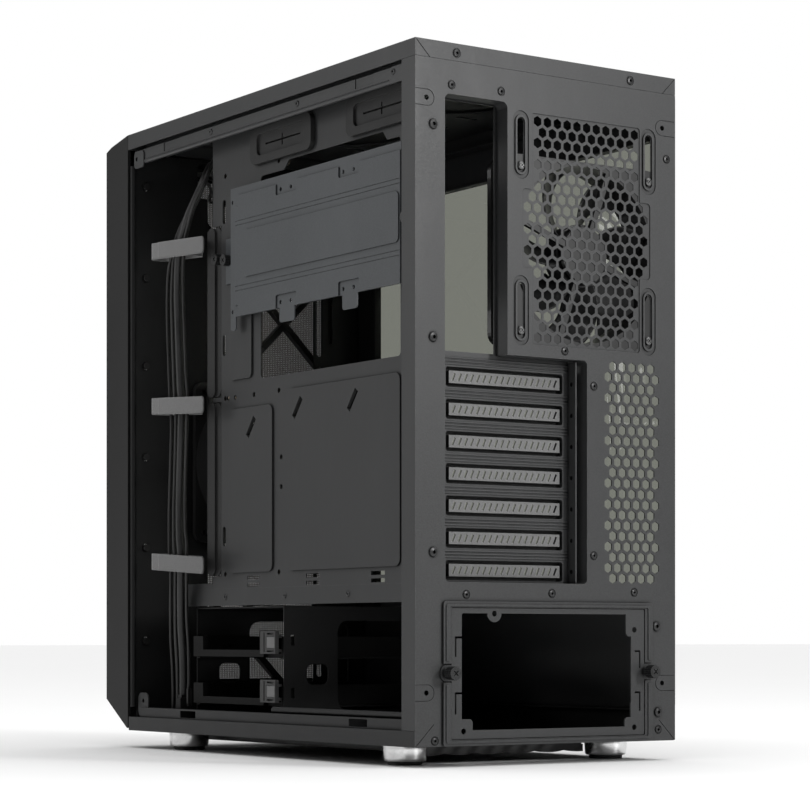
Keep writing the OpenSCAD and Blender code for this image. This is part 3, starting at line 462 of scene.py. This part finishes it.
def foot_profile(top):
    """A turned foot with a rounded rim and a recess for its pad, from the top down."""
    drops = [
        (0, 0), (0, 0.9), (0.25, 1.3), (0.35, 3), (0.9, 8.6), (1.1, 9.6), (1.6, 10.3), (2.4, 10.6),
        (3.4, 10.6), (3.5, 9.8),
    ]
    rim = [(FOOT_R - inset * MM, top - drop * MM) for inset, drop in drops]
    return [(ON_AXIS, top), *rim, (ON_AXIS, rim[-1][1])]


def pad_profile():
    """A rubber ring with eased edges around the foot's screw hole."""
    edge = [(3.6, 3.3), (3.6, 1.0), (3.9, 0.3), (4.6, 0.0)]
    ring = [(6.2, 0.0), (5.8, 0.3), (5.6, 1.2), (3, 1.2)]
    outer = [(FOOT_R - inset * MM, height * MM) for inset, height in edge]
    return [(3 * MM, 3.3 * MM), *outer, *((r * MM, height * MM) for r, height in ring)]


def make_feet():
    low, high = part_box("feet")
    chrome_bm, pad_bm = bmesh.new(), bmesh.new()
    for x in (low.x + FOOT_R, high.x - FOOT_R):
        for y in (low.y + FOOT_R, high.y - FOOT_R):
            place = Matrix.Translation((x, y, 0))
            lathe(chrome_bm, foot_profile(high.z), place)
            lathe(pad_bm, pad_profile(), place)
    mesh = finished(chrome_bm, "chrome_feet")
    show("chrome_feet", mesh, "chassis", chrome, "feet", slot="foot_chrome")
    mesh = finished(pad_bm, "rubber_pads")
    show("rubber_pads", mesh, "chassis", black_rubber, "foot_pads", slot="black_rubber")


# ---- Fan rotors ----

BLADES = 7
HUB_R = 20.5 * MM
TIP_R = 56.2 * MM


def blade_rows(place, turn):
    """A twisted, swept and cambered blade, as rows of points from the hub out to the tip."""
    rows = []
    for i in range(13):
        u = i / 12
        radius = (HUB_R - 1 * MM) + (TIP_R - HUB_R + 1 * MM) * u
        pitch = math.radians(50 - 21 * u)
        half = (10.2 + 6.4 * u) * MM
        lean = turn + math.radians(24) * u * u
        row = []
        for k in range(13):
            v = -1 + k / 6
            across = half * v * math.cos(pitch)
            height = 14 * MM + half * v * math.sin(pitch) + 0.14 * half * (1 - v * v)
            angle = lean + across / radius
            row.append(place @ Vector((radius * math.cos(angle), radius * math.sin(angle), height)))
        rows.append(row)
    return rows


def hub_profile():
    """A cup with a rounded crown and the bearing's sleeve inside it, as (radius, height)."""
    crown = [(17.4, 19.6), (19.2, 19.2), (20.1, 18.2)]
    inside = [(18.6, 4.4), (18.4, 16.4), (1.5, 17), (1.5, 1.6)]
    return [
        (ON_AXIS, 19.6 * MM), *((r * MM, h * MM) for r, h in crown), (HUB_R, 16.6 * MM),
        (HUB_R, 4.4 * MM), *((r * MM, h * MM) for r, h in inside), (ON_AXIS, 1.6 * MM),
    ]


def make_rotor(node, body, facing):
    """facing is the row-frame direction that the fan's open side looks to."""
    low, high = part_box(node)
    centre = (low + high) / 2
    base_y = high.y + 1.6 * MM if facing.y < 0 else low.y - 1.6 * MM
    turned = facing.to_track_quat("Z", "Y").to_matrix().to_4x4()
    place = Matrix.Translation((centre.x, base_y, centre.z)) @ turned
    bm = bmesh.new()
    for i in range(BLADES):
        grid(bm, blade_rows(place, AROUND * i / BLADES))
    name = f"{body}_blades"
    blades = show(name, finished(bm, name), body, fan_plastic, node, slot="fan_plastic")
    modify(blades, "SOLIDIFY", thickness=1.3 * MM, offset=0.0)
    rounded_edges(blades, 0.45 * MM, 3)
    bm = bmesh.new()
    lathe(bm, hub_profile(), place)
    label_ring = [(13.6, 19.5), (13.8, 20), (14.4, 20), (14.6, 19.5)]
    lathe(bm, [(r * MM, h * MM) for r, h in label_ring], place)
    name = f"{body}_hub"
    hub = show(name, finished(bm, name), body, fan_plastic, slot="fan_plastic")
    rounded_edges(hub, 0.2 * MM, 2)


# ---- Cables and straps ----

# The lead's centre line from its header to its plug, as (inward, forward, up) in mm
CABLE_ROUTE = [
    (86, 380, 412.6), (81, 379.4, 413), (75, 369, 413.6), (66, 350, 414.4), (54, 332, 414.6),
    (40, 314, 413), (28, 301, 408.6), (20, 296, 398), (15, 297, 386), (11, 304, 371), (10, 312, 354),
    (10, 316, 342), (11, 319, 318), (11, 317, 282), (10, 313, 252), (10, 311, 236), (10, 312, 210),
    (11, 316, 170), (10, 314, 142), (10, 312, 128), (11, 314, 104), (14, 319, 78), (17, 322, 58),
    (17.5, 322, 42), (17.5, 322, 27),
]
# Where each wire runs beside it, as (inward, forward) in mm
WIRE_OFFSETS = [(-0.5, 7.4), (1.5, 11.6), (0, 15.4), (1, -6.6), (-1, -9.8)]
WIRE_FALL = 0.7  # how far a wire sinks for each mm that it runs forward of the lead
ROUTE_STEPS = 8
HEADER_LOW = (96, 398, 399.8)
HEADER_HIGH = (88, 365.5, 419.6)


def smooth_route(points, steps):
    """A Catmull-Rom curve through the points, with this many steps between each two."""
    out = []
    for i in range(len(points) - 1):
        a, b = points[max(i - 1, 0)], points[i]
        c, d = points[i + 1], points[min(i + 2, len(points) - 1)]
        for k in range(steps):
            t = k / steps
            bend, swing = 2 * a - 5 * b + 4 * c - d, 3 * b - a - 3 * c + d
            out.append(0.5 * (2 * b + (c - a) * t + bend * t * t + swing * t**3))
    return out + [points[-1]]


def cable_curve(name, points, radius):
    data = bpy.data.curves.new(name, "CURVE")
    data.dimensions = "3D"
    spline = data.splines.new("POLY")
    spline.points.add(len(points) - 1)
    for target, p in zip(spline.points, points):
        target.co = (*p, 1.0)
    data.bevel_depth = radius
    data.bevel_resolution = 6
    data.use_fill_caps = True
    return data


def box_between(bm, low, high, inset=0.0, depth=0.0):
    """A box whose six faces may be inset and sunk."""
    made = bmesh.ops.create_cube(bm, size=1.0)["verts"]
    middle, size = (low + high) / 2, high - low
    bmesh.ops.scale(bm, vec=size, verts=made)
    bmesh.ops.translate(bm, vec=middle, verts=made)
    faces = list({f for v in made for f in v.link_faces})
    if inset:
        bmesh.ops.inset_individual(bm, faces=faces, thickness=inset, depth=-depth)


def make_plug(name, end, half, height, ribs, *replaced):
    """A moulded plug that hangs below a cable's end, with grip ribs and a sunk mouth."""
    bm = bmesh.new()
    body_top = end.z - 2.2 * MM
    side = Vector((half.x, half.y, 0))
    foot, top = Vector((end.x, end.y, end.z - height)), Vector((end.x, end.y, body_top))
    box_between(bm, foot - side, top + side, 0.4 * MM, 0.25 * MM)
    box_between(bm, top - side * 0.7, end + side * 0.7)
    grip = Vector((half.x + 0.25 * MM, half.y * 0.8, 0))
    for i in range(ribs):
        rib = Vector((end.x, end.y, body_top - (1.6 + 1.5 * i) * MM))
        box_between(bm, rib - grip, rib + grip + Vector((0, 0, 0.7 * MM)))
    mesh = finished(bm, name, smooth=False)
    plug = show(name, mesh, "chassis", black_plastic, *replaced, slot="black_plastic")
    rounded_edges(plug, 0.2 * MM, 2)
    return plug


def make_header():
    """The socket block on the port board that the lead and the wires leave from."""
    bm = bmesh.new()
    low, high = at_corner(*HEADER_LOW), at_corner(*HEADER_HIGH)
    box_between(bm, low, high, 0.8 * MM, 0.4 * MM)
    start = at_corner(*CABLE_ROUTE[0])
    for inward, forward, half in [(0, 0, 3.4)] + [(a, b, 1.4) for a, b in WIRE_OFFSETS]:
        mouth = start + Vector((-inward, -forward, -WIRE_FALL * forward)) * MM
        side = Vector((0, half, half)) * MM
        box_between(bm, Vector((high.x, mouth.y, mouth.z)) - side, mouth + side, 0.3 * MM, 0.15 * MM)
    mesh = finished(bm, "port_header", smooth=False)
    header = show("port_header", mesh, "chassis", black_plastic, slot="black_plastic")
    rounded_edges(header, 0.3 * MM, 2)


def make_cables():
    """The thick port lead and the thin wires that run beside it, each with its plug."""
    make_header()
    main = smooth_route([at_corner(*p) for p in CABLE_ROUTE], ROUTE_STEPS)
    curve = cable_curve("front_port_cable", main, 2.9 * MM)
    thick = show("front_port_cable", curve, "chassis", cable_sheath, "port_cable", slot="cable_sheath")
    half = Vector((4.4, 3.6)) * MM
    plug = make_plug("port_plug", main[-1], half, 22 * MM, 6, "cable_connectors")
    for n, (inward, forward) in enumerate(WIRE_OFFSETS):
        fall = WIRE_FALL * forward
        route = [at_corner(a + inward, b + forward, h - fall) for a, b, h in CABLE_ROUTE]
        line = smooth_route(route, ROUTE_STEPS)
        name = f"panel_wire_{n + 1}"
        replaced = ["panel_wires"] if n == 0 else []
        curve = cable_curve(name, line, 1.1 * MM)
        wire = show(name, curve, "chassis", wire_sheath, *replaced, slot="cable_sheath")
        plug = make_plug(f"wire_plug_{n + 1}", line[-1], Vector((1.4, 1.3)) * MM, 13 * MM, 0)


def strap_outline(inner, outer, rear, front, round_r):
    """A rounded loop seen from above, as (inward, forward) points."""
    left, right = inner + round_r, outer - round_r
    back, ahead = rear + round_r, front - round_r
    corners = ((right, ahead, 0), (left, ahead, 90), (left, back, 180), (right, back, 270))
    points = []
    for cx, cy, start in corners:
        for k in range(9):
            t = math.radians(start + 90 * k / 8)
            points.append((cx + round_r * math.cos(t), cy + round_r * math.sin(t)))
    return points


STRAP_SLOPE = math.tan(math.radians(3.4))
STRAP_HALF = 6.0  # half the strap's width, in mm like the numbers of its outline
TAIL_ROWS = 48


def make_strap(node):
    """The loop round the cables and its loose end, on the slope of the CAD strap."""
    low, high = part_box(node)
    inner = (CORNER.x - high.x) / MM + 1.2
    rear, front = (CORNER.y - high.y) / MM + 0.4, (CORNER.y - low.y) / MM - 0.4
    middle = (high.z + low.z) / 2 - CORNER.z

    def place(inward, forward, up):
        rise = STRAP_SLOPE * (forward - (rear + front) / 2)
        return at_corner(inward, forward, middle / MM + rise + up)

    bm = bmesh.new()
    # The loop starts well ahead of the loose end's rear tip
    loop = strap_outline(inner + 0.7, inner + 14.1, rear + 24.2, front - 0.7, 5.7)
    heights = [-STRAP_HALF + STRAP_HALF * i / 4 for i in range(9)]
    grid(bm, [[place(a, b, h) for a, b in loop] for h in heights], closed=True)
    name = f"{node}_band"
    band = show(name, finished(bm, name), "chassis", strap_cloth, node, slot="strap_fabric")
    modify(band, "SOLIDIFY", thickness=1.2 * MM, offset=0.0)
    rounded_edges(band, 0.4 * MM, 2, 50)
    end_r = 2.6
    bm = bmesh.new()
    rows = []
    for i in range(TAIL_ROWS + 1):
        b = rear + 0.3 + (front - 16.5 - rear) * i / TAIL_ROWS
        into = min(end_r, b - rear - 0.3)
        cut = end_r - math.sqrt(max(end_r**2 - (end_r - into) ** 2, 0))
        bow = inner - 0.55 - 0.25 * math.sin(math.pi * i / TAIL_ROWS)
        rows.append([place(bow, b, (STRAP_HALF - cut) * (k - 4) / 4) for k in range(9)])
    grid(bm, rows)
    name = f"{node}_tail"
    tail = show(name, finished(bm, name), "chassis", strap_cloth, slot="strap_fabric")
    modify(tail, "SOLIDIFY", thickness=1.0 * MM, offset=0.0)
    rounded_edges(tail, 0.3 * MM, 2, 50)


SLED_PITCH = 33.4


def make_latch_pads():
    """The lighter finger pads sunk in the two sled latches."""
    for n, level in enumerate(("lower", "upper")):
        rise = SLED_PITCH * n
        bm = bmesh.new()
        low, high = at_corner(14.6, 199.7, 27.9 + rise), at_corner(13.8, 189.5, 35.3 + rise)
        box_between(bm, low, high, 0.7 * MM, 0.25 * MM)
        name, body = f"latch_pad_{level}", nodes[f"hdd_latch_{level}"]["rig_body"]
        mesh = finished(bm, name, smooth=False)
        pad = show(name, mesh, body, pad_plastic, slot="grey_plastic")
        rounded_edges(pad, 0.2 * MM, 2)


# ---- The pieces ----

for plate in REFINED:
    refined(plate)
make_latch_pads()
make_feet()
make_rotor("rear_fan_rotor", "rear_rotor", Vector((0, -1, 0)))
make_rotor("front_fan_rotor", "front_rotor", Vector((0, 1, 0)))
make_cables()
for strap in ("cable_strap_upper", "cable_strap_middle", "cable_strap_lower"):
    make_strap(strap)


# ---- Floor, light and camera ----


def area_light(name, place, target, size, power):
    data = bpy.data.lights.new(name, "AREA")
    data.shape = "RECTANGLE"
    data.size, data.size_y = size
    data.energy = power
    light = bpy.data.objects.new(name, data)
    light.location = place
    light.rotation_euler = (Vector(target) - Vector(place)).to_track_quat("-Z", "Y").to_euler()
    bpy.context.scene.collection.objects.link(light)


def make_stage():
    """A pale floor under soft light from above, with three faint fills."""
    mesh = bpy.data.meshes.new("floor")
    reach = 30.0
    corners = [(-reach, -reach, 0), (reach, -reach, 0), (reach, reach, 0), (-reach, reach, 0)]
    mesh.from_pydata(corners, [], [(0, 1, 2, 3)])
    floor = bpy.data.objects.new("floor", mesh)
    bpy.context.scene.collection.objects.link(floor)
    g = Graph("floor_paint", roughness=0.55)
    g.color(g.mix(g.noise(3.0), (0.86, 0.86, 0.86), (0.88, 0.88, 0.88)))
    mesh.materials.append(g.mat)
    studio_world()
    sun = bpy.data.lights.new("overhead", "SUN")
    sun.energy = 3.5
    sun.angle = math.radians(100)
    bpy.context.scene.collection.objects.link(bpy.data.objects.new("overhead", sun))
    area_light("rear_high", (-1.1, 1.9, 1.75), (0, 0.2, 0.36), (0.9, 0.9), 11)
    area_light("rear_glint", (-0.8, 1.9, 0.8), (0.08, 0.2, 0.3), (0.3, 0.5), 16)
    area_light("side_front", (1.9, -1.6, 0.9), (0.1, 0, 0.2), (1.0, 1.0), 8)


def studio_world():
    """White to the eye and through glass, and dimmer as a light."""
    world = bpy.data.worlds.new("studio")
    world.use_nodes = True
    tree = world.node_tree
    background = tree.nodes["Background"]
    background.inputs["Color"].default_value = (1.0, 1.0, 1.0, 1.0)
    path = tree.nodes.new("ShaderNodeLightPath")
    seen = tree.nodes.new("ShaderNodeMath")
    seen.operation = "MAXIMUM"
    tree.links.new(path.outputs["Is Camera Ray"], seen.inputs[0])
    tree.links.new(path.outputs["Is Transmission Ray"], seen.inputs[1])
    strength = tree.nodes.new("ShaderNodeMapRange")
    strength.inputs["To Min"].default_value = 0.06
    strength.inputs["To Max"].default_value = 1.0
    tree.links.new(seen.outputs[0], strength.inputs["Value"])
    tree.links.new(strength.outputs[0], background.inputs["Strength"])
    bpy.context.scene.world = world


def make_camera():
    data = bpy.data.cameras.new("camera")
    data.lens = 113.48
    data.sensor_width = 36.0
    data.shift_y = 0.2894
    camera = bpy.data.objects.new("camera", data)
    camera.location = (1.00525, 1.49849, 0.08009)
    camera.rotation_euler = (math.radians(90.0), 0.0, math.radians(145.626))
    bpy.context.scene.collection.objects.link(camera)
    bpy.context.scene.camera = camera
    bpy.context.scene.view_settings.view_transform = "Standard"


make_camera()
make_stage()
